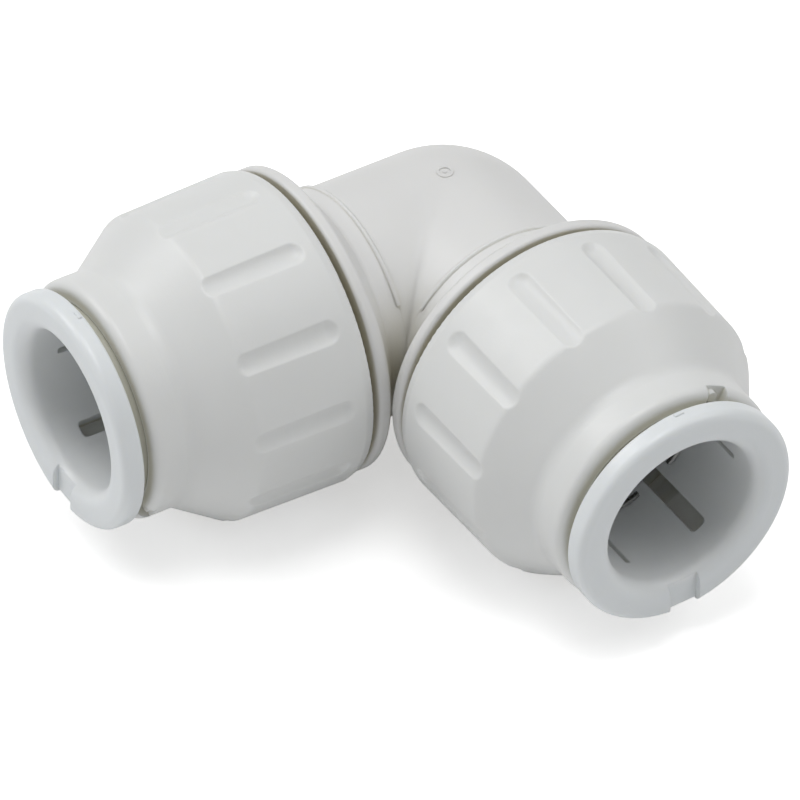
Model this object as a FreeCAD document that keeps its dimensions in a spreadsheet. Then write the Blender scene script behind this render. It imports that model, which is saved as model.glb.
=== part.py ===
"""Equal elbow push fit coupling for 15 mm pipe.

Frame: the origin is where the axes of the two pipe sockets cross.  Arm a runs
along -Y, arm b runs along +X, and +Z is square to the plane of the elbow.
Each arm carries a screw cap, a sliding collet with six steel grab teeth, an
O-ring and a spacer washer.  Distances called "along" are measured outwards
from the origin on the arm's own axis.  All sizes are in millimetres.
"""
import FreeCAD, Part
import math
import os
import re

import Sketcher

SIZES = {
    # pipe and sockets
    "pipe_diameter": 15.0,
    "bore_clearance": 0.12,
    "pipe_stop": 10.2,
    "waterway_radius": 6.2,
    # elbow tube, its thin beads and the moulding gate mark
    "tube_radius": 10.85,
    "neck_radius": 11.0,
    "bead_along": 10.5,
    "bead_width": 0.5,
    "bead_height": 0.34,
    "bead_rounding": 0.2,
    "bead_gap_angle": 35.0,
    "gate_ring_radius": 0.66,
    "gate_ring_width": 0.26,
    "gate_nub_radius": 0.2,
    "gate_height": 0.08,
    "gate_rounding": 0.04,
    "gate_root": 0.4,
    # flange that the screw cap closes on
    "flange_radius": 14.6,
    "flange_front": 15.75,
    "flange_rear": 14.65,
    "flange_foot": 12.4,
    "flange_rounding": 0.35,
    "flange_foot_rounding": 0.7,
    # threaded spigot with the O-ring seat
    "spigot_radius": 11.75,
    "spigot_mouth": 24.6,
    "seat_radius": 10.05,
    "seat_floor": 18.4,
    "seat_lead_in": 0.35,
    # screw thread between spigot and cap
    "thread_lead": 2.6,
    "thread_turns": 2.0,
    "thread_start": 17.4,
    "thread_clearance": 0.08,
    "thread_base": 1.5,
    "thread_crest": 0.9,
    "thread_root": 0.15,
    # screw cap, outside
    "cap_rear": 16.47,
    "cap_rear_radius": 14.7,
    "cap_taper": 0.9,
    "cap_grip_radius": 14.95,
    "cap_shoulder": 28.1,
    "cap_shoulder_radius": 14.66,
    "cap_lip_start": 33.1,
    "cap_lip_radius": 11.35,
    "cap_front": 36.85,
    "cap_edge_rounding": 0.25,
    "cap_shoulder_rounding": 1.2,
    "cap_lip_fillet": 2.2,
    "cap_lip_rounding": 0.9,
    # screw cap, inside
    "cap_bore_radius": 12.95,
    "cap_step": 26.35,
    "chamber_radius": 10.9,
    "chamber_end": 27.2,
    "throat_start": 30.2,
    "throat_radius": 9.65,
    "throat_rounding": 0.12,
    # grip grooves of the screw cap
    "groove_count": 12,
    "groove_cutter": 1.9,
    "groove_depth": 0.36,
    "groove_from": 19.7,
    "groove_to": 28.0,
    "groove_pole": 0.08,
    "groove_turn": 15.0,
    "groove_softening": 0.3,
    # notch in the cap's lip, with a small nub in it
    "notch_width": 2.3,
    "notch_depth": 0.9,
    "nub_radius": 0.5,
    "nub_height": 0.6,
    "nub_across": 0.4,
    "nub_from_axis": 10.5,
    # collet
    "collet_inner_end": 27.75,
    "collet_head_radius": 10.57,
    "collet_tube_radius": 9.57,
    "collet_flange_rear": 37.95,
    "collet_flange_radius": 11.2,
    "collet_face": 40.0,
    "collet_edge_rounding": 0.8,
    "collet_lip_rounding": 1.5,
    "collet_back_rounding": 0.25,
    "finger_count": 6,
    "wide_slot_width": 1.65,
    "wide_slot_rounding": 0.45,
    "narrow_slot_width": 0.6,
    "narrow_slot_rounding": 0.15,
    "slot_end": 36.0,
    "slot_turn": 3.0,
    "recess_width": 3.1,
    "recess_depth": 0.6,
    "recess_inner": 7.7,
    "recess_flat": 10.8,
    "recess_flat_depth": 1.5,
    "collet_gate_width": 0.9,
    "collet_gate_length": 0.35,
    "collet_gate_height": 0.06,
    # steel grab teeth, one in each collet finger
    "tooth_tip_radius": 7.4,
    "tooth_root_radius": 9.2,
    "tooth_along": 28.9,
    "tooth_thickness": 0.35,
    "tooth_width": 4.0,
    "tooth_slope": 0.55,
    "tooth_gap": 0.02,
    # O-ring
    "seal_section_radius": 1.3,
    "seal_inner_radius": 7.4,
    "seal_gap": 0.05,
    # spacer washer
    "washer_inner_end": 22.0,
    "washer_flange_rear": 25.35,
    "washer_face": 26.3,
    "washer_sleeve_radius": 9.97,
    "washer_flange_radius": 11.7,
    "washer_bore_clearance": 0.22,
    "washer_rounding": 0.3,
    # how each cap and collet is turned on its arm at rest, in degrees
    "cap_turn_a": -37.0,
    "cap_turn_b": 63.0,
    "collet_turn_a": -92.0,
    "collet_turn_b": -88.0,
    # turn of the wide slots from the first tooth
    "wide_slot_turn_a": 0.0,
    "wide_slot_turn_b": 180.0,
}

SMALLEST_CHANGE = 1e-4  # mm3, the least that a feature must add or remove
SAME_LENGTH = 1e-6      # mm, within which two lengths are the same

document = FreeCAD.newDocument("push_fit_elbow")
sheet = document.addObject("Spreadsheet::Sheet", "sizes")
sheet.Label = "sizes"
for row, (alias, number) in enumerate(SIZES.items(), start=1):
    sheet.set("A%d" % row, alias)
    sheet.set("B%d" % row, str(number))
    sheet.setAlias("B%d" % row, alias)
document.recompute()


# ---------------------------------------------------------------- helpers

def bound(formula):
    """The formula with every size name turned into a reference to the sheet."""
    return re.sub(r"[a-z]\w+", lambda word: "<<sizes>>." + word.group(0), formula)


def value(formula):
    """The number that a formula of size names gives at the moment."""
    return float(sheet.evalExpression(bound(formula)))


def bind(thing, prop, formula):
    thing.setExpression(prop, bound(formula))


def new_body(name):
    body = document.addObject("PartDesign::Body", name)
    body.Label = name
    return body


def origin_feature(body, role):
    return next(item for item in body.Origin.OriginFeatures if item.Role == role)


def new_sketch(body, name, role, lift=None, turn=None):
    """A sketch on one of the body's origin planes.

    lift is a formula for the distance off the plane; turn is an axis of the
    sketch and a formula for the angle, in degrees, that it is turned about it.
    """
    sketch = body.newObject("Sketcher::SketchObject", name)
    sketch.AttachmentSupport = [(origin_feature(body, role), "")]
    sketch.MapMode = "FlatFace"
    if turn:
        axis, angle = turn
        sketch.AttachmentOffset = FreeCAD.Placement(
            FreeCAD.Vector(0, 0, 0), FreeCAD.Rotation(axis, value(angle)))
        bind(sketch, "AttachmentOffset.Rotation.Angle", angle)
    if lift:
        bind(sketch, "AttachmentOffset.Base.z", lift)
    return sketch


ACROSS = FreeCAD.Vector(1, 0, 0)
UP_PAGE = FreeCAD.Vector(0, 1, 0)


def place_point(sketch, geometry, end, across, along, name):
    """Fix one point of the sketch by two formulas measured from its origin."""
    for kind, axis, formula in (("DistanceX", -2, across), ("DistanceY", -1, along)):
        if formula == "0":
            sketch.addConstraint(Sketcher.Constraint("PointOnObject", geometry, end, axis))
            continue
        constraint = Sketcher.Constraint(kind, -1, 1, geometry, end, value(formula))
        index = sketch.addConstraint(constraint)
        label = "%s_%s" % (name, kind[-1])
        sketch.renameConstraint(index, label)
        bind(sketch, "Constraints." + label, formula)


def outline(sketch, corners):
    """Draw a closed outline through corners of (across, along[, rounding])."""
    count = len(corners)
    points = [FreeCAD.Vector(value(item[0]), value(item[1]), 0) for item in corners]
    starts = list(points)
    ends = [points[(i + 1) % count] for i in range(count)]
    arcs = {}
    for i, corner in enumerate(corners):
        if len(corner) < 3:
            continue
        radius = value(corner[2])
        back = (points[i - 1] - points[i]).normalize()
        ahead = (points[(i + 1) % count] - points[i]).normalize()
        half = back.getAngle(ahead) / 2
        ends[i - 1] = points[i] + back * (radius / math.tan(half))
        starts[i] = points[i] + ahead * (radius / math.tan(half))
        middle = points[i] + (back + ahead).normalize() * (radius / math.sin(half))
        left_turn = back.cross(ahead).z < 0
        arcs[i] = (middle, radius, left_turn)
    for first, last in zip(starts, ends):
        sketch.addGeometry(Part.LineSegment(first, last), False)
    for i, corner in enumerate(corners):
        before = (i - 1) % count
        if i not in arcs:
            sketch.addConstraint(Sketcher.Constraint("Coincident", before, 2, i, 1))
            place_point(sketch, i, 1, corner[0], corner[1], "corner%d" % i)
            continue
        middle, radius, left_turn = arcs[i]
        first, last = (ends[before], starts[i]) if left_turn else (starts[i], ends[before])
        angles = [math.atan2((p - middle).y, (p - middle).x) for p in (first, last)]
        circle = Part.Circle(middle, FreeCAD.Vector(0, 0, 1), radius)
        arc = sketch.addGeometry(Part.ArcOfCircle(circle, angles[0], angles[1]), False)
        enter, leave = (1, 2) if left_turn else (2, 1)
        point = sketch.addGeometry(Part.Point(points[i]), True)
        sketch.addConstraint([
            Sketcher.Constraint("Tangent", before, 2, arc, enter),
            Sketcher.Constraint("Tangent", i, 1, arc, leave),
            Sketcher.Constraint("PointOnObject", point, 1, before),
            Sketcher.Constraint("PointOnObject", point, 1, i)])
        place_point(sketch, point, 1, corner[0], corner[1], "corner%d" % i)
        index = sketch.addConstraint(Sketcher.Constraint("Radius", arc, radius))
        sketch.renameConstraint(index, "rounding%d" % i)
        bind(sketch, "Constraints.rounding%d" % i, corner[2])


def draw_circle(sketch, radius, across="0", along="0"):
    middle = FreeCAD.Vector(value(across), value(along), 0)
    circle = Part.Circle(middle, FreeCAD.Vector(0, 0, 1), value(radius))
    index = sketch.addGeometry(circle, False)
    place_point(sketch, index, 3, across, along, "middle")
    constraint = sketch.addConstraint(Sketcher.Constraint("Radius", index, value(radius)))
    sketch.renameConstraint(constraint, "radius")
    bind(sketch, "Constraints.radius", radius)


def add_axis(sketch, foot, head):
    """A construction line between two corners, which becomes the sketch's Axis0."""
    ends = [FreeCAD.Vector(value(across), value(along), 0) for across, along in (foot, head)]
    index = sketch.addGeometry(Part.LineSegment(*ends), True)
    place_point(sketch, index, 1, foot[0], foot[1], "axis_foot")
    place_point(sketch, index, 2, head[0], head[1], "axis_head")


def checked(body, feature, grows):
    """Recompute and make sure the feature really added or removed material."""
    document.recompute()
    before = feature.BaseFeature.Shape.Volume if feature.BaseFeature else 0.0
    change = feature.Shape.Volume - before
    if (change > 0) != grows or abs(change) < SMALLEST_CHANGE:
        raise RuntimeError("%s in %s changed the volume by %g" % (feature.Name, body.Label, change))
    return feature


def revolve(body, sketch, axis="V_Axis", cut=False, angle=None):
    kind = "PartDesign::Groove" if cut else "PartDesign::Revolution"
    feature = body.newObject(kind, sketch.Name + "_turned")
    feature.Profile = sketch
    feature.ReferenceAxis = (sketch, [axis])
    feature.Angle = 360
    if angle:
        bind(feature, "Angle", angle)
    return checked(body, feature, not cut)


def extrude(body, sketch, length, cut=False, middle=False, flip=False):
    kind = "PartDesign::Pocket" if cut else "PartDesign::Pad"
    feature = body.newObject(kind, sketch.Name + "_drawn")
    feature.Profile = sketch
    feature.SideType = "Symmetric" if middle else "One side"
    feature.Reversed = flip
    bind(feature, "Length", length)
    return checked(body, feature, not cut)


def repeat_round(body, feature, count, grows=False):
    pattern = body.newObject("PartDesign::PolarPattern", feature.Name + "_pattern")
    pattern.Originals = [feature]
    pattern.Axis = (origin_feature(body, "Z_Axis"), [""])
    pattern.Angle = 360
    bind(pattern, "Occurrences", count)
    body.Tip = pattern
    return checked(body, pattern, grows)


def soften(body, feature, edges, radius):
    """Round the named edges of the feature."""
    fillet = body.newObject("PartDesign::Fillet", feature.Name + "_softened")
    fillet.Base = (feature, edges)
    bind(fillet, "Radius", radius)
    body.Tip = fillet
    return checked(body, fillet, False)


def add_thread(body, sketch, axis, name):
    """Sweep the ridge section in the sketch along a right-handed helix."""
    feature = body.newObject("PartDesign::AdditiveHelix", name)
    feature.Profile = sketch
    feature.ReferenceAxis = (sketch, [axis])
    feature.Mode = 0
    bind(feature, "Pitch", "thread_lead")
    bind(feature, "Height", "thread_lead * thread_turns")
    return checked(body, feature, True)


# ---------------------------------------------------------------- elbow body

# turns a sphere so that its poles lie inside the two tubes
POLES_IN_TUBES = FreeCAD.Rotation(FreeCAD.Vector(1, 1, 0), 90)


def arm_sketch(body, arm, name, turn=None):
    """A sketch in the elbow's plane, turned about the arm's axis if asked."""
    axis = ACROSS if arm == "a" else UP_PAGE
    return new_sketch(body, "%s_%s" % (name, arm), "XY_Plane", turn=turn and (axis, turn))


def arm_outline(sketch, arm, corners):
    """Corners are (along, radius[, rounding]); arm b swaps the two axes."""
    if arm == "b":
        corners = [(corner[1], corner[0]) + tuple(corner[2:]) for corner in corners]
    outline(sketch, corners)


def elbow_body():
    """One moulding: a tube with a ball corner, flanges and threaded spigots.

    It is drawn with arm a along +X and arm b along +Y, then turned into place.
    """
    body = new_body("elbow_body")
    ball = body.newObject("PartDesign::AdditiveSphere", "corner_ball")
    ball.Placement = FreeCAD.Placement(FreeCAD.Vector(0, 0, 0), POLES_IN_TUBES)
    bind(ball, "Radius", "tube_radius")
    for arm, axis in (("a", "H_Axis"), ("b", "V_Axis")):
        tube = arm_sketch(body, arm, "tube")
        arm_outline(tube, arm, [
            ("0", "0"),
            ("0", "tube_radius"),
            ("bead_along", "tube_radius"),
            ("bead_along", "neck_radius"),
            ("flange_foot", "neck_radius", "flange_foot_rounding"),
            ("flange_rear", "flange_radius", "flange_rounding"),
            ("flange_front", "flange_radius", "flange_rounding"),
            ("flange_front", "spigot_radius"),
            ("spigot_mouth", "spigot_radius", "flange_rounding"),
            ("spigot_mouth", "0")])
        revolve(body, tube, axis)
    for arm, axis in (("a", "H_Axis"), ("b", "V_Axis")):
        bead = arm_sketch(body, arm, "bead", turn="bead_gap_angle")
        arm_outline(bead, arm, [
            ("bead_along - bead_width / 2", "tube_radius - bead_height"),
            ("bead_along - bead_width / 2", "tube_radius + bead_height", "bead_rounding"),
            ("bead_along + bead_width / 2", "tube_radius + bead_height", "bead_rounding"),
            ("bead_along + bead_width / 2", "tube_radius - bead_height")])
        revolve(body, bead, axis, angle="360 - 2 * bead_gap_angle")
    add_gate_mark(body)
    hollow = body.newObject("PartDesign::SubtractiveSphere", "corner_waterway")
    hollow.Placement = FreeCAD.Placement(FreeCAD.Vector(0, 0, 0), POLES_IN_TUBES)
    bind(hollow, "Radius", "waterway_radius")
    checked(body, hollow, False)
    for arm, axis in (("a", "H_Axis"), ("b", "V_Axis")):
        bore = arm_sketch(body, arm, "bore")
        socket = "pipe_diameter / 2 + bore_clearance"
        arm_outline(bore, arm, [
            ("0", "0"),
            ("0", "waterway_radius"),
            ("pipe_stop", "waterway_radius"),
            ("pipe_stop", socket),
            ("seat_floor", socket),
            ("seat_floor", "seat_radius"),
            ("spigot_mouth - seat_lead_in", "seat_radius"),
            ("spigot_mouth + seat_lead_in", "seat_radius + 2 * seat_lead_in"),
            ("spigot_mouth + seat_lead_in", "0")])
        revolve(body, bore, axis, cut=True)
    for arm, axis, turn in (("a", "H_Axis", "cap_turn_a"), ("b", "V_Axis", "cap_turn_b - 180")):
        ridge = arm_sketch(body, arm, "ridge", turn=turn)
        start = "thread_start"
        crest = "cap_bore_radius - thread_clearance"
        root = "spigot_radius - thread_root"
        arm_outline(ridge, arm, [
            (start + " - thread_base / 2", root),
            (start + " - thread_crest / 2", crest),
            (start + " + thread_crest / 2", crest),
            (start + " + thread_base / 2", root)])
        add_thread(body, ridge, axis, "spigot_thread_" + arm)
    body.Placement = FreeCAD.Placement(
        FreeCAD.Vector(0, 0, 0), FreeCAD.Rotation(FreeCAD.Vector(0, 0, 1), -90))
    return body


def add_gate_mark(body):
    """The small ring and nub left by the moulding gate on top of the elbow."""
    foot = "tube_radius - gate_root"
    top = "tube_radius + gate_height"
    ring = new_sketch(body, "gate_ring", "XZ_Plane")
    inner = "gate_ring_radius - gate_ring_width / 2"
    outer = "gate_ring_radius + gate_ring_width / 2"
    outline(ring, [
        (inner, foot),
        (outer, foot),
        (outer, top, "gate_rounding"),
        (inner, top, "gate_rounding")])
    revolve(body, ring)
    nub = new_sketch(body, "gate_nub", "XZ_Plane")
    outline(nub, [
        ("0", foot),
        ("gate_nub_radius", foot),
        ("gate_nub_radius", top, "gate_rounding"),
        ("0", top)])
    revolve(body, nub)


# ---------------------------------------------------------------- pieces of an arm
# Each is drawn with the arm's axis along +Z, and then placed on its arm.

def screw_cap(name):
    """Cap with twelve grip grooves, an internal thread and a collet chamber."""
    body = new_body(name)
    shell = new_sketch(body, name + "_shell", "XZ_Plane")
    outline(shell, [
        ("cap_bore_radius", "cap_rear"),
        ("cap_rear_radius", "cap_rear", "cap_edge_rounding"),
        ("cap_grip_radius", "cap_rear + cap_taper"),
        ("cap_shoulder_radius", "cap_shoulder", "cap_shoulder_rounding"),
        ("cap_lip_radius", "cap_lip_start", "cap_lip_fillet"),
        ("cap_lip_radius", "cap_front", "cap_lip_rounding"),
        ("throat_radius", "cap_front", "throat_rounding"),
        ("throat_radius", "throat_start"),
        ("chamber_radius", "chamber_end"),
        ("chamber_radius", "cap_step"),
        ("cap_bore_radius", "cap_step")])
    revolve(body, shell)
    cutter = new_sketch(body, name + "_groove", "XZ_Plane", turn=(UP_PAGE, "groove_turn"))
    rear = (grip_radius("groove_from"), "groove_from - groove_cutter")
    front = (grip_radius("groove_to"), "groove_to + groove_cutter")
    lift = " + groove_cutter - groove_depth"
    ends = "groove_cutter - groove_pole"
    outline(cutter, [
        (rear[0] + lift, rear[1]),
        (front[0] + lift, front[1]),
        (front[0] + " - groove_depth", front[1], ends),
        (rear[0] + " - groove_depth", rear[1], ends)])
    add_axis(cutter, (rear[0] + lift, rear[1]), (front[0] + lift, front[1]))
    groove = revolve(body, cutter, "Axis0", cut=True)
    grooves = repeat_round(body, groove, "groove_count")
    soften(body, grooves, groove_rims(grooves.Shape), "groove_softening")
    notch = new_sketch(body, name + "_notch", "YZ_Plane", lift="throat_radius - throat_rounding")
    outline_centred(notch, "notch_width", "cap_front - notch_depth", "cap_front + notch_depth")
    extrude(body, notch, "cap_lip_radius - throat_radius + 2 * throat_rounding", cut=True, flip=True)
    nub = new_sketch(body, name + "_nub", "XY_Plane", lift="cap_front - notch_depth - nub_height")
    draw_circle(nub, "nub_radius", "nub_from_axis", "nub_across")
    extrude(body, nub, "2 * nub_height")
    ridge = new_sketch(body, name + "_ridge", "XZ_Plane")
    start = "thread_start + thread_lead / 2"
    outline(ridge, [
        ("cap_bore_radius + thread_root", start + " - thread_base / 2"),
        ("cap_bore_radius + thread_root", start + " + thread_base / 2"),
        ("spigot_radius + thread_clearance", start + " + thread_crest / 2"),
        ("spigot_radius + thread_clearance", start + " - thread_crest / 2")])
    add_thread(body, ridge, "V_Axis", name + "_thread")
    return body


def grip_radius(along):
    """Formula for the radius of the cap's tapered grip at a place along it."""
    rear = "(cap_rear + cap_taper)"
    share = "(%s - %s) / (cap_shoulder - %s)" % (along, rear, rear)
    return "cap_grip_radius - (cap_grip_radius - cap_shoulder_radius) * " + share


def groove_rims(shape):
    """Names of the edges where a grip groove meets the outside of the cap."""
    cutter = value("groove_cutter")

    def in_groove(face):
        surface = face.Surface
        if surface.TypeId == "Part::GeomCylinder":
            return abs(surface.Radius - cutter) < SAME_LENGTH
        return surface.TypeId == "Part::GeomSurfaceOfRevolution"

    names = []
    for number, edge in enumerate(shape.Edges, start=1):
        sides = [in_groove(face) for face in shape.ancestorsOfType(edge, Part.Face)]
        if any(sides) and not all(sides):
            names.append("Edge%d" % number)
    return names


def outline_centred(sketch, width, low, high):
    """A rectangle centred across the page, from one height to another."""
    half = value(width) / 2
    corners = [(-half, low), (half, low), (half, high), (-half, high)]
    points = [FreeCAD.Vector(across, value(along), 0) for across, along in corners]
    for first, last in zip(points, points[1:] + points[:1]):
        sketch.addGeometry(Part.LineSegment(first, last), False)
    for i in range(4):
        sketch.addConstraint(Sketcher.Constraint("Coincident", (i - 1) % 4, 2, i, 1))
    sketch.addConstraint(Sketcher.Constraint("Horizontal", 2))
    sketch.addConstraint(Sketcher.Constraint("Vertical", 1))
    sketch.addConstraint(Sketcher.Constraint("Vertical", 3))
    sketch.addConstraint(Sketcher.Constraint("Symmetric", 0, 1, 0, 2, -2))
    sizes = (("width", "DistanceX", (0, 1, 0, 2), width),
             ("low", "DistanceY", (-1, 1, 0, 1), low),
             ("high", "DistanceY", (-1, 1, 2, 1), high))
    for label, kind, ends, formula in sizes:
        index = sketch.addConstraint(Sketcher.Constraint(kind, *ends, value(formula)))
        sketch.renameConstraint(index, label)
        bind(sketch, "Constraints." + label, formula)


def tooth_outline(sketch, inner, gap="0"):
    """The sloping section of a grab tooth, from an inner radius to its root."""
    low = "tooth_along - tooth_thickness / 2 - %s" % gap
    high = "tooth_along + tooth_thickness / 2 + %s" % gap
    rise = " + tooth_slope * (%s - tooth_tip_radius)"
    root = "tooth_root_radius + %s" % gap
    outline(sketch, [
        (inner, low + rise % inner),
        (root, low + rise % root),
        (root, high + rise % root),
        (inner, high + rise % inner)])


def cut_slots(body, kind, turn):
    """Cut every second slot of the collet, open at its inner end."""
    width = kind + "_slot_width"
    rounding = kind + "_slot_rounding"
    slot = new_sketch(body, "%s_%s_slot" % (body.Label, kind), "XZ_Plane", turn=(UP_PAGE, turn))
    outline(slot, [
        ("0 - %s / 2" % width, "collet_inner_end - " + width),
        (width + " / 2", "collet_inner_end - " + width),
        (width + " / 2", "slot_end", rounding),
        ("0 - %s / 2" % width, "slot_end", rounding)])
    repeat_round(body, extrude(body, slot, "collet_flange_radius", cut=True), "finger_count / 2")


def collet(name, wide_slot_turn):
    """Flanged sleeve with six fingers, wide and narrow slots between them, and tooth pockets."""
    body = new_body(name)
    bore = "pipe_diameter / 2 + bore_clearance"
    sleeve = new_sketch(body, name + "_sleeve", "XZ_Plane")
    outline(sleeve, [
        (bore, "collet_inner_end", "collet_back_rounding"),
        ("collet_head_radius", "collet_inner_end", "collet_back_rounding"),
        ("collet_tube_radius", "throat_start"),
        ("collet_tube_radius", "collet_flange_rear"),
        ("collet_flange_radius", "collet_flange_rear", "collet_back_rounding"),
        ("collet_flange_radius", "collet_face", "collet_edge_rounding"),
        (bore, "collet_face", "collet_lip_rounding")])
    revolve(body, sleeve)
    cut_slots(body, "wide", "slot_turn + " + wide_slot_turn)
    cut_slots(body, "narrow", "slot_turn + 180 + " + wide_slot_turn)
    pocket = new_sketch(body, name + "_pocket", "XZ_Plane", turn=(UP_PAGE, "slot_turn"))
    tooth_outline(pocket, "tooth_tip_radius - wide_slot_rounding", "tooth_gap")
    feature = extrude(body, pocket, "tooth_width + 2 * tooth_gap", cut=True, middle=True)
    repeat_round(body, feature, "finger_count")
    above_face = "collet_face + recess_depth"
    recess = new_sketch(body, name + "_recess", "YZ_Plane", lift="recess_inner")
    outline_centred(recess, "recess_width", "collet_face - recess_depth", above_face)
    extrude(body, recess, "collet_flange_radius", cut=True, flip=True)
    flat = new_sketch(body, name + "_flat", "YZ_Plane", lift="recess_flat")
    outline_centred(flat, "recess_width", "collet_face - recess_flat_depth", above_face)
    extrude(body, flat, "collet_flange_radius - recess_inner", cut=True, flip=True)
    gate_top = "0 - collet_flange_radius - collet_gate_height"
    gate = new_sketch(body, name + "_gate", "YZ_Plane", lift=gate_top)
    gate_rear = "collet_flange_rear + collet_back_rounding"
    outline_centred(gate, "collet_gate_width", gate_rear, gate_rear + " + collet_gate_length")
    extrude(body, gate, "2 * collet_gate_height")
    return body


def grab_tooth(name):
    """Sloping steel plate whose tip follows the pipe and bites when it is pulled."""
    body = new_body(name)
    section = new_sketch(body, name + "_section", "XZ_Plane")
    tooth_outline(section, "tooth_tip_radius - tooth_thickness")
    extrude(body, section, "tooth_width", middle=True)
    tip = new_sketch(body, name + "_tip", "XY_Plane")
    draw_circle(tip, "tooth_tip_radius")
    extrude(body, tip, "2 * tooth_along", cut=True, flip=True)
    return body


def o_ring(name):
    body = new_body(name)
    section = new_sketch(body, name + "_section", "XZ_Plane")
    draw_circle(section, "seal_section_radius",
                "seal_inner_radius + seal_section_radius",
                "seat_floor + seal_gap + seal_section_radius")
    revolve(body, section)
    return body


def spacer_washer(name):
    """Top-hat washer between the O-ring and the step inside the cap."""
    body = new_body(name)
    section = new_sketch(body, name + "_section", "XZ_Plane")
    bore = "pipe_diameter / 2 + washer_bore_clearance"
    outline(section, [
        (bore, "washer_inner_end", "washer_rounding"),
        ("washer_sleeve_radius", "washer_inner_end", "washer_rounding"),
        ("washer_sleeve_radius", "washer_flange_rear"),
        ("washer_flange_radius", "washer_flange_rear"),
        ("washer_flange_radius", "washer_face", "washer_rounding"),
        (bore, "washer_face")])
    revolve(body, section)
    return body


# ---------------------------------------------------------------- assembly

ARM_TURNS = {
    "a": FreeCAD.Rotation(FreeCAD.Vector(1, 0, 0), 90),
    "b": FreeCAD.Rotation(FreeCAD.Vector(1, 1, 1), 120),
}


def put_on_arm(body, arm, degrees):
    """Lay +Z along the arm, after turning the piece about its own axis."""
    spin = FreeCAD.Rotation(FreeCAD.Vector(0, 0, 1), degrees)
    body.Placement = FreeCAD.Placement(FreeCAD.Vector(0, 0, 0), ARM_TURNS[arm].multiply(spin))
    return body


def build():
    pieces = [elbow_body()]
    for arm in "ab":
        cap_turn = value("cap_turn_" + arm)
        collet_turn = value("collet_turn_" + arm)
        first_tooth = collet_turn + value("slot_turn")
        pieces.append(put_on_arm(screw_cap("screw_cap_" + arm), arm, cap_turn))
        sleeve = collet("collet_" + arm, "wide_slot_turn_" + arm)
        pieces.append(put_on_arm(sleeve, arm, collet_turn))
        pieces.append(put_on_arm(o_ring("o_ring_" + arm), arm, 0))
        pieces.append(put_on_arm(spacer_washer("spacer_washer_" + arm), arm, 0))
        fingers = int(value("finger_count"))
        for number in range(fingers):
            tooth = grab_tooth("grab_tooth_%s%d" % (arm, number + 1))
            pieces.append(put_on_arm(tooth, arm, first_tooth + number * 360 / fingers))
    return pieces


def check(pieces):
    for item in document.Objects:
        if "Invalid" in item.State or "Error" in item.State:
            raise RuntimeError("%s failed: %s" % (item.Label, item.State))
    for piece in pieces:
        shape = piece.Shape
        if shape.isNull() or not shape.isValid() or len(shape.Solids) != 1:
            raise RuntimeError("%s has no single valid solid" % piece.Label)


all_pieces = build()
document.recompute()
check(all_pieces)
os.makedirs("parts", exist_ok=True)
for one in all_pieces:
    one.Shape.exportStep("parts/%s.step" % one.Label)
    print("%-18s %10.2f mm3" % (one.Label, one.Shape.Volume))
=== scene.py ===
"""Looks of the push fit elbow coupling: plastics, rubber, steel, studio and camera.

Lengths are in metres.  Material functions work in millimetres, because their
texture coordinates are the object's own, multiplied by PER_METRE.
"""
import math

import bmesh
import bpy
from mathutils import Matrix, Vector


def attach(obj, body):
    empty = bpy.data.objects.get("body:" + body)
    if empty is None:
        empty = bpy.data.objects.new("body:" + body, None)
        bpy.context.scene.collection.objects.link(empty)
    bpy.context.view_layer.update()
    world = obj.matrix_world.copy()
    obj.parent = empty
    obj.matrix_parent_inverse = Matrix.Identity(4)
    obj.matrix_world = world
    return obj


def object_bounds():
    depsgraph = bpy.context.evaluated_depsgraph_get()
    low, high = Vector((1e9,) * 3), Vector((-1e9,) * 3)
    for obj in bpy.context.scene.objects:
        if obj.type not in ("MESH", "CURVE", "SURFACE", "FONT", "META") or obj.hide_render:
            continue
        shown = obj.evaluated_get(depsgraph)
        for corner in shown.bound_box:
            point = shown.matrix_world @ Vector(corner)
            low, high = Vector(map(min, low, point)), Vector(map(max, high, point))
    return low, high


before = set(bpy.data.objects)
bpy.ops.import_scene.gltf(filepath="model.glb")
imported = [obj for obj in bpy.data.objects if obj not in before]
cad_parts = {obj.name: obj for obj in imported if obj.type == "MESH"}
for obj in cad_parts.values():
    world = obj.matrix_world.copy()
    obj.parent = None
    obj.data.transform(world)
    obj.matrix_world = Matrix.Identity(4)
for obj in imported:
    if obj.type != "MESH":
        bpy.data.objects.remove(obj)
bpy.context.view_layer.update()
cad_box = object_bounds()

MM = 0.001
PER_METRE = 1000.0


# ---------------------------------------------------------------- sizes, in millimetres

def around_arm(node):
    """Each point of a node on arm b, as its distances along the arm and from its axis."""
    points = [vert.co * PER_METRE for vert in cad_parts[node].data.vertices]
    return [(point.x, math.hypot(point.y, point.z)) for point in points]


COLLET_POINTS = around_arm("collet_b")
BORE_RADIUS = min(radius for _, radius in COLLET_POINTS)
MID_WALL = BORE_RADIUS + 1.0
THROAT_RADIUS = min(radius for _, radius in around_arm("screw_cap_b"))
FLANGE_RADIUS = max(radius for _, radius in COLLET_POINTS)
FLANGE_EDGE = 0.4
FLANGE_REAR = min(along for along, radius in COLLET_POINTS
                  if radius > FLANGE_RADIUS - FLANGE_EDGE)

# how far the shading reaches in the gap at a flange, round a cap's lip, and in the
# corner between the two flanges, and on either side of the crease between the tubes
FLANGE_GAP = 2.5
LIP_GAP = 2.0
CORNER_GAP = 9.0
CREASE_REACH = 4.0

# how round the edges of the plastic look, and the crease
EDGE_RADIUS = 0.22
CREASE_RADIUS = 2.6


# ---------------------------------------------------------------- node trees

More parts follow.
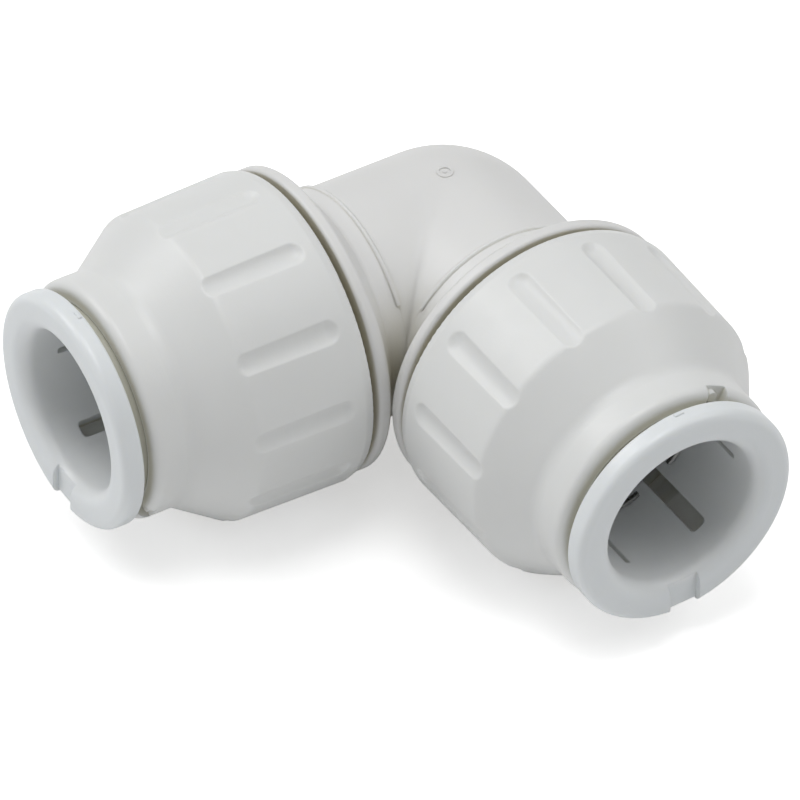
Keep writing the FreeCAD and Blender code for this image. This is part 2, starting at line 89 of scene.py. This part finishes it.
class Tree:
    """A material's node tree, with short calls that add and link its nodes."""

    def __init__(self, name):
        self.material = bpy.data.materials.new(name)
        self.material.use_nodes = True
        self.nodes = self.material.node_tree.nodes
        self.links = self.material.node_tree.links
        self.nodes.clear()

    def add(self, kind, inputs=None, **settings):
        node = self.nodes.new(kind)
        for key, setting in settings.items():
            setattr(node, key, setting)
        for key, source in (inputs or {}).items():
            if isinstance(source, bpy.types.NodeSocket):
                self.links.new(source, node.inputs[key])
            else:
                node.inputs[key].default_value = source
        return node

    def maths(self, operation, *sources):
        return self.add("ShaderNodeMath", dict(enumerate(sources)), operation=operation).outputs[0]

    def place(self):
        """Object coordinates in millimetres."""
        where = self.add("ShaderNodeTexCoord").outputs["Object"]
        scaled = self.add("ShaderNodeVectorMath", {0: where, "Scale": PER_METRE}, operation="SCALE")
        return scaled.outputs[0]

    def noise(self, per_mm, detail=3.0, roughness=0.5, stretch=None):
        """Noise from 0 to 1 whose features are about 1 / per_mm millimetres wide."""
        where = self.place()
        if stretch:
            where = self.add("ShaderNodeVectorMath", {0: where, 1: stretch},
                             operation="MULTIPLY").outputs[0]
        return self.add("ShaderNodeTexNoise", {
            "Vector": where, "Scale": per_mm, "Detail": detail,
            "Roughness": roughness}).outputs["Fac"]

    def ramp(self, source, low, high, low_out=0.0, high_out=1.0):
        return self.add("ShaderNodeMapRange", {
            "Value": source, "From Min": low, "From Max": high,
            "To Min": low_out, "To Max": high_out}).outputs["Result"]

    def blend(self, share, first, second):
        mix = self.add("ShaderNodeMix", data_type="RGBA")
        for socket, source in ((mix.inputs["Factor"], share), (mix.inputs[6], first),
                               (mix.inputs[7], second)):
            if isinstance(source, bpy.types.NodeSocket):
                self.links.new(source, socket)
            else:
                socket.default_value = source
        return mix.outputs[2]

    def bump(self, height, distance_mm, normal=None):
        inputs = {"Height": height, "Distance": distance_mm * MM, "Strength": 1.0}
        if normal:
            inputs["Normal"] = normal
        return self.add("ShaderNodeBump", inputs).outputs["Normal"]

    def surface(self, **inputs):
        named = {key.replace("_", " "): source for key, source in inputs.items()}
        shader = self.add("ShaderNodeBsdfPrincipled", named)
        self.add("ShaderNodeOutputMaterial", {"Surface": shader.outputs[0]})
        return self.material


def rgb(red, green, blue):
    return (red, green, blue, 1.0)


def crevice(tree, reach_mm):
    """0 on open surfaces, rising to 1 deep in gaps narrower than the reach."""
    open_share = tree.add("ShaderNodeAmbientOcclusion", {"Distance": reach_mm * MM},
                          samples=8).outputs["AO"]
    return tree.ramp(open_share, 0.6, 0.0)


def shaded(tree, base, shade, reach_mm, most):
    """The base colour, turning towards the shade in gaps narrower than the reach."""
    share = tree.maths("MULTIPLY", crevice(tree, reach_mm), most)
    return tree.blend(share, base, shade)


def place_on_arm(tree):
    """Distance along whichever arm a point is on, and from its axis, in millimetres."""
    parts = tree.add("ShaderNodeSeparateXYZ", {0: tree.place()}).outputs
    x, y = (tree.maths("ABSOLUTE", part) for part in parts[:2])
    along = tree.maths("MAXIMUM", x, y)
    flat = tree.maths("POWER", tree.maths("MINIMUM", x, y), 2.0)
    radius = tree.maths("SQRT", tree.maths("ADD", flat, tree.maths("POWER", parts[2], 2.0)))
    return along, radius


def near_elbow_crease(tree):
    """1 on the inner crease where the two tubes meet, falling to 0 beside it."""
    x, y, _ = tree.add("ShaderNodeSeparateXYZ", {0: tree.place()}).outputs
    off_plane = tree.maths("ABSOLUTE", tree.maths("ADD", x, y))
    return tree.ramp(off_plane, CREASE_REACH, 0.0)


def edge_wear_and_sheen(tree, radius_mm):
    """0 on flat surfaces, rising to 1 where the surface turns sharply.

    The radius in millimetres is a number or a socket.
    """
    radius = tree.maths("MULTIPLY", radius_mm, MM)
    rounded = tree.add("ShaderNodeBevel", {"Radius": radius}, samples=6).outputs[0]
    true_normal = tree.add("ShaderNodeNewGeometry").outputs["Normal"]
    facing = tree.add("ShaderNodeVectorMath", {0: rounded, 1: true_normal},
                      operation="DOT_PRODUCT").outputs["Value"]
    return tree.ramp(facing, 0.995, 0.85), rounded


# ---------------------------------------------------------------- materials

def tinted(colour, factor):
    return rgb(*(min(1.0, part * factor) for part in colour[:3]))


def mottled(tree, colour):
    """The plastic's colour with cloudy patches a few millimetres across."""
    cloud = tree.ramp(tree.noise(0.12, detail=4.0), 0.35, 0.65)
    return tree.blend(cloud, tinted(colour, 0.985), colour)


def satin_plastic(tree, base, worn_and_sheen, roughness, edge_mm=EDGE_RADIUS):
    """Finish a moulded plastic: edges lightened by wear and a painted highlight, mould grain,
    slight waviness, soft depth.

    The faint glow in narrow gaps is painted light, standing in for daylight that comes through the
    thin white walls.
    """
    edge, rounded = edge_wear_and_sheen(tree, edge_mm)
    # edges painted lighter: partly wear, partly a painted highlight
    base = tree.blend(tree.maths("MULTIPLY", edge, 0.35), base, worn_and_sheen)
    normal = tree.bump(tree.noise(0.35, detail=2.0), 0.03, rounded)
    normal = tree.bump(tree.noise(5.0, detail=2.0, roughness=0.6), 0.006, normal)
    finish = tree.ramp(tree.noise(0.5, detail=5.0), 0.3, 0.7, roughness - 0.04, roughness + 0.05)
    finish = tree.maths("SUBTRACT", finish, tree.maths("MULTIPLY", edge, 0.06))
    # painted olive glow in narrow gaps
    glow = tree.maths("MULTIPLY", crevice(tree, FLANGE_GAP), PAINTED_GAP_GLOW)
    return tree.surface(
        Base_Color=base, Roughness=finish, Normal=normal, IOR=1.48,
        Subsurface_Weight=0.25, Subsurface_Radius=(1.0, 0.95, 0.8),
        Subsurface_Scale=1.2 * MM, Emission_Color=SHADE_OLIVE, Emission_Strength=glow)


def body_plastic(name):
    """Warm white of the elbow, with painted olive shade in the gaps at its flanges and in the
    corner between them.
    """
    tree = Tree(name)
    crease = near_elbow_crease(tree)
    # painted olive shade in the gaps at the flanges, left out along the crease
    base = shaded(tree, mottled(tree, BODY_WHITE), SHADE_OLIVE, FLANGE_GAP,
                  tree.ramp(crease, 0.0, 1.0, 0.85, 0.0))
    # painted olive shade in the corner between the two flanges
    base = shaded(tree, base, SHADE_OLIVE, CORNER_GAP, 0.6)
    soft_crease = tree.ramp(crease, 0.0, 1.0, EDGE_RADIUS, CREASE_RADIUS)
    return satin_plastic(tree, base, tinted(BODY_WHITE, 1.02), 0.42, edge_mm=soft_crease)


def cap_plastic(name):
    """White of the caps, with painted olive shade in the gaps, left out in the throat seen through
    the slots.
    """
    tree = Tree(name)
    white = mottled(tree, CAP_WHITE)
    _, radius = place_on_arm(tree)
    in_throat = tree.ramp(radius, THROAT_RADIUS + 0.4, THROAT_RADIUS + 0.1)
    # painted olive shade round the lip, except in the throat
    base = tree.blend(in_throat, shaded(tree, white, SHADE_OLIVE, LIP_GAP, 0.85), white)
    return satin_plastic(tree, base, tinted(CAP_WHITE, 1.05), 0.40)


def collet_plastic(name):
    """Cool white on the flange, painted lighter in the bore for light bounced inside it, painted
    grey shade on the neck.
    """
    tree = Tree(name)
    along, radius = place_on_arm(tree)
    # painted light: lighter and less blue in the bore, standing in for light bounced round inside
    # it
    inside = tree.ramp(radius, MID_WALL, BORE_RADIUS)
    base = tree.blend(inside, mottled(tree, COLLET_WHITE), BORE_LIT_WHITE)
    # painted grey shade on the neck behind the flange
    behind_flange = tree.ramp(along, FLANGE_REAR + 0.1, FLANGE_REAR - 0.1)
    outside = tree.ramp(radius, MID_WALL, MID_WALL + 0.6)
    neck_shade = tree.maths("MULTIPLY", behind_flange, outside)
    base = tree.blend(neck_shade, base, NECK_SHADE_GREY)
    return satin_plastic(tree, base, tinted(COLLET_WHITE, 1.03), 0.34)


def washer_plastic(name):
    tree = Tree(name)
    # painted olive shade in the narrow gaps round the washer
    base = shaded(tree, mottled(tree, WASHER_GREY), SHADE_OLIVE, LIP_GAP, 0.5)
    return satin_plastic(tree, base, tinted(WASHER_GREY, 1.05), 0.38)


def seal_rubber(name):
    """Black moulded rubber with a dull, slightly greasy surface."""
    tree = Tree(name)
    bloom = tree.ramp(tree.noise(0.6, detail=5.0), 0.45, 0.75)
    base = tree.blend(bloom, rgb(0.012, 0.012, 0.013), rgb(0.03, 0.03, 0.032))
    normal = tree.bump(tree.noise(9.0, detail=2.0), 0.004)
    return tree.surface(Base_Color=base, Roughness=tree.ramp(bloom, 0.0, 1.0, 0.42, 0.6),
                        Normal=normal, Specular_IOR_Level=0.45)


def tooth_steel(name):
    """Stainless sheet with fine rolling marks."""
    tree = Tree(name)
    marks = tree.noise(3.0, detail=4.0, stretch=(1.0, 1.0, 9.0))
    base = tree.blend(marks, rgb(0.3, 0.3, 0.295), rgb(0.4, 0.4, 0.39))
    return tree.surface(Base_Color=base, Metallic=1.0, Normal=tree.bump(marks, 0.002),
                        Roughness=tree.ramp(marks, 0.3, 0.7, 0.22, 0.38))


BODY_WHITE = rgb(0.72, 0.722, 0.715)
CAP_WHITE = rgb(0.735, 0.745, 0.738)
COLLET_WHITE = rgb(0.75, 0.78, 0.795)
# painted light: the collet's white made lighter for its bore
BORE_LIT_WHITE = rgb(0.795, 0.815, 0.82)
WASHER_GREY = rgb(0.50, 0.53, 0.55)
SHADE_OLIVE = rgb(0.50, 0.465, 0.34)
# painted shade on the collet's neck
NECK_SHADE_GREY = rgb(0.55, 0.545, 0.47)

# strength of the painted glow in the gaps, standing in for light that comes through the walls
PAINTED_GAP_GLOW = 0.03

MATERIALS = {
    maker.__name__: maker(maker.__name__ + "_look")
    for maker in (body_plastic, cap_plastic, collet_plastic, washer_plastic,
                  seal_rubber, tooth_steel)}


def dress_cad_nodes():
    """Give every CAD node the finish that is named after its packed material."""
    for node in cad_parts.values():
        for place in node.material_slots:
            place.material = MATERIALS[place.material.name]


# ---------------------------------------------------------------- fine details

# just inside the tube's wall and the front of the flange, from and along an arm's axis
WALL_FROM_AXIS = 10.6 * MM
FLANGE_FRONT = 15.6 * MM
RIDGE_RADIUS = 0.06 * MM


def on_outer_wall(point):
    """Whether a point in the elbow's plane is on its outer side and behind its caps."""
    if point.x > 0 > point.y:
        return False
    to_arm_a = math.hypot(point.x, max(point.y, 0))
    to_arm_b = math.hypot(point.y, min(point.x, 0))
    along = max(point.x, -point.y)
    return min(to_arm_a, to_arm_b) > WALL_FROM_AXIS and along < FLANGE_FRONT


def add_parting_line():
    """The fine ridge round the elbow where the two halves of its mould met."""
    section = bmesh.new()
    section.from_mesh(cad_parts["elbow_body"].data)
    bmesh.ops.bisect_plane(
        section, geom=section.verts[:] + section.edges[:] + section.faces[:],
        plane_co=(0, 0, 0), plane_no=(0, 0, 1), clear_inner=True, clear_outer=True)
    hidden = [edge for edge in section.edges
              if not all(on_outer_wall(vert.co) for vert in edge.verts)]
    bmesh.ops.delete(section, geom=hidden, context="EDGES")
    loose = [vert for vert in section.verts if not vert.link_edges]
    bmesh.ops.delete(section, geom=loose, context="VERTS")
    bmesh.ops.remove_doubles(section, verts=section.verts, dist=RIDGE_RADIUS)
    mesh = bpy.data.meshes.new("elbow_parting_line")
    section.to_mesh(mesh)
    section.free()
    line = bpy.data.objects.new("elbow_parting_line", mesh)
    bpy.context.scene.collection.objects.link(line)
    bpy.ops.object.select_all(action="DESELECT")
    bpy.context.view_layer.objects.active = line
    line.select_set(True)
    bpy.ops.object.convert(target="CURVE")
    line.data.bevel_depth = RIDGE_RADIUS
    line.data.bevel_resolution = 1
    line.data.use_fill_caps = True
    line.data.materials.append(MATERIALS["body_plastic"])
    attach(line, "elbow")


# ---------------------------------------------------------------- studio

FLOOR_SIZE = 6.0
# how bright the floor is by itself in the camera's view, and the distances in
# millimetres between which it brightens to plain white
FLOOR_GLOW = 0.5
FLOOR_FADE = (150.0, 500.0)
SKY_STRENGTH = 0.275
SOFTBOX_SIZE = 0.5
SOFTBOX_DISTANCE = 0.9

# the camera's angles in degrees, its lens and sensor in millimetres
CAMERA_AZIMUTH = 57.07
CAMERA_ELEVATION = 41.715
CAMERA_ROLL = 1.294
CAMERA_LENS = 301.66
SENSOR_WIDTH = 36.0
CAMERA_DISTANCE = 0.5983

# the centre of the object, and how far from it the camera aims
CENTRE = (cad_box[0] + cad_box[1]) / 2
AIM_RIGHT = 0.10 * MM
AIM_UP = -1.02 * MM


def add_floor():
    low, _ = cad_box
    bpy.ops.mesh.primitive_plane_add(size=FLOOR_SIZE, location=(0, 0, low.z))
    floor = bpy.context.object
    floor.name = "studio_floor"
    tree = Tree("studio_floor_paint")
    seen = tree.add("ShaderNodeLightPath").outputs["Is Camera Ray"]
    distance = tree.add("ShaderNodeVectorMath", {0: tree.place()}, operation="LENGTH")
    glow = tree.ramp(distance.outputs["Value"], *FLOOR_FADE, FLOOR_GLOW, 1.0)
    floor.data.materials.append(tree.surface(
        Base_Color=rgb(0.93, 0.93, 0.93), Roughness=0.9, Specular_IOR_Level=0.1,
        Emission_Color=rgb(1, 1, 1), Emission_Strength=tree.maths("MULTIPLY", seen, glow)))


def add_world(strength):
    """Even white surroundings, which the camera sees as plain white."""
    world = bpy.data.worlds.new("studio_surroundings")
    bpy.context.scene.world = world
    world.use_nodes = True
    nodes, links = world.node_tree.nodes, world.node_tree.links
    nodes.clear()
    seen = nodes.new("ShaderNodeBackground")
    lighting = nodes.new("ShaderNodeBackground")
    lighting.inputs["Strength"].default_value = strength
    for shader in (seen, lighting):
        shader.inputs["Color"].default_value = rgb(1, 1, 1)
    path = nodes.new("ShaderNodeLightPath")
    mix = nodes.new("ShaderNodeMixShader")
    output = nodes.new("ShaderNodeOutputWorld")
    links.new(path.outputs["Is Camera Ray"], mix.inputs["Fac"])
    links.new(lighting.outputs[0], mix.inputs[1])
    links.new(seen.outputs[0], mix.inputs[2])
    links.new(mix.outputs[0], output.inputs["Surface"])


def look_from(azimuth, elevation):
    """Unit vector from the object towards a viewer at these angles, in degrees."""
    a, e = math.radians(azimuth), math.radians(elevation)
    return Vector((math.sin(a) * math.cos(e), -math.cos(a) * math.cos(e), math.sin(e)))


def add_softbox(name, azimuth, elevation, power):
    lamp = bpy.data.lights.new(name, "AREA")
    lamp.shape = "DISK"
    lamp.size = SOFTBOX_SIZE
    lamp.energy = power
    lamp_object = bpy.data.objects.new(name, lamp)
    bpy.context.scene.collection.objects.link(lamp_object)
    towards = look_from(azimuth, elevation)
    lamp_object.location = CENTRE + towards * SOFTBOX_DISTANCE
    lamp_object.rotation_mode = "QUATERNION"
    lamp_object.rotation_quaternion = towards.to_track_quat("Z", "Y")


def add_camera():
    """A long lens above and to the right of arm a, a little rolled."""
    azimuth, roll = math.radians(CAMERA_AZIMUTH), math.radians(CAMERA_ROLL)
    back = look_from(CAMERA_AZIMUTH, CAMERA_ELEVATION)
    level = Vector((math.cos(azimuth), math.sin(azimuth), 0))
    lift = back.cross(level)
    right = level * math.cos(roll) + lift * math.sin(roll)
    up = lift * math.cos(roll) - level * math.sin(roll)
    aim = CENTRE + right * AIM_RIGHT + up * AIM_UP
    camera_data = bpy.data.cameras.new("camera")
    camera_data.sensor_width = SENSOR_WIDTH
    camera_data.lens = CAMERA_LENS
    camera_data.clip_start = 0.01
    camera_data.clip_end = 50.0
    camera = bpy.data.objects.new("camera", camera_data)
    bpy.context.scene.collection.objects.link(camera)
    camera.matrix_world = basis(right, up, back, aim + back * CAMERA_DISTANCE)
    bpy.context.scene.camera = camera


def basis(right, up, back, place):
    turn = Matrix((right, up, back)).transposed()
    return Matrix.Translation(place) @ turn.to_4x4()


# ---------------------------------------------------------------- the scene

dress_cad_nodes()
add_parting_line()
add_floor()
add_world(SKY_STRENGTH)
for name, azimuth, elevation, power in (
        ("top_softbox", 0, 88, 3.0),
        ("front_softbox", 0, 12, 0.6),
        ("back_softbox", 150, 45, 1.5),
        ("key_softbox", 306, 45, 2.6)):
    add_softbox(name, azimuth, elevation, power)
add_camera()
bpy.context.scene.view_settings.view_transform = "Standard"

bpy.context.view_layer.update()
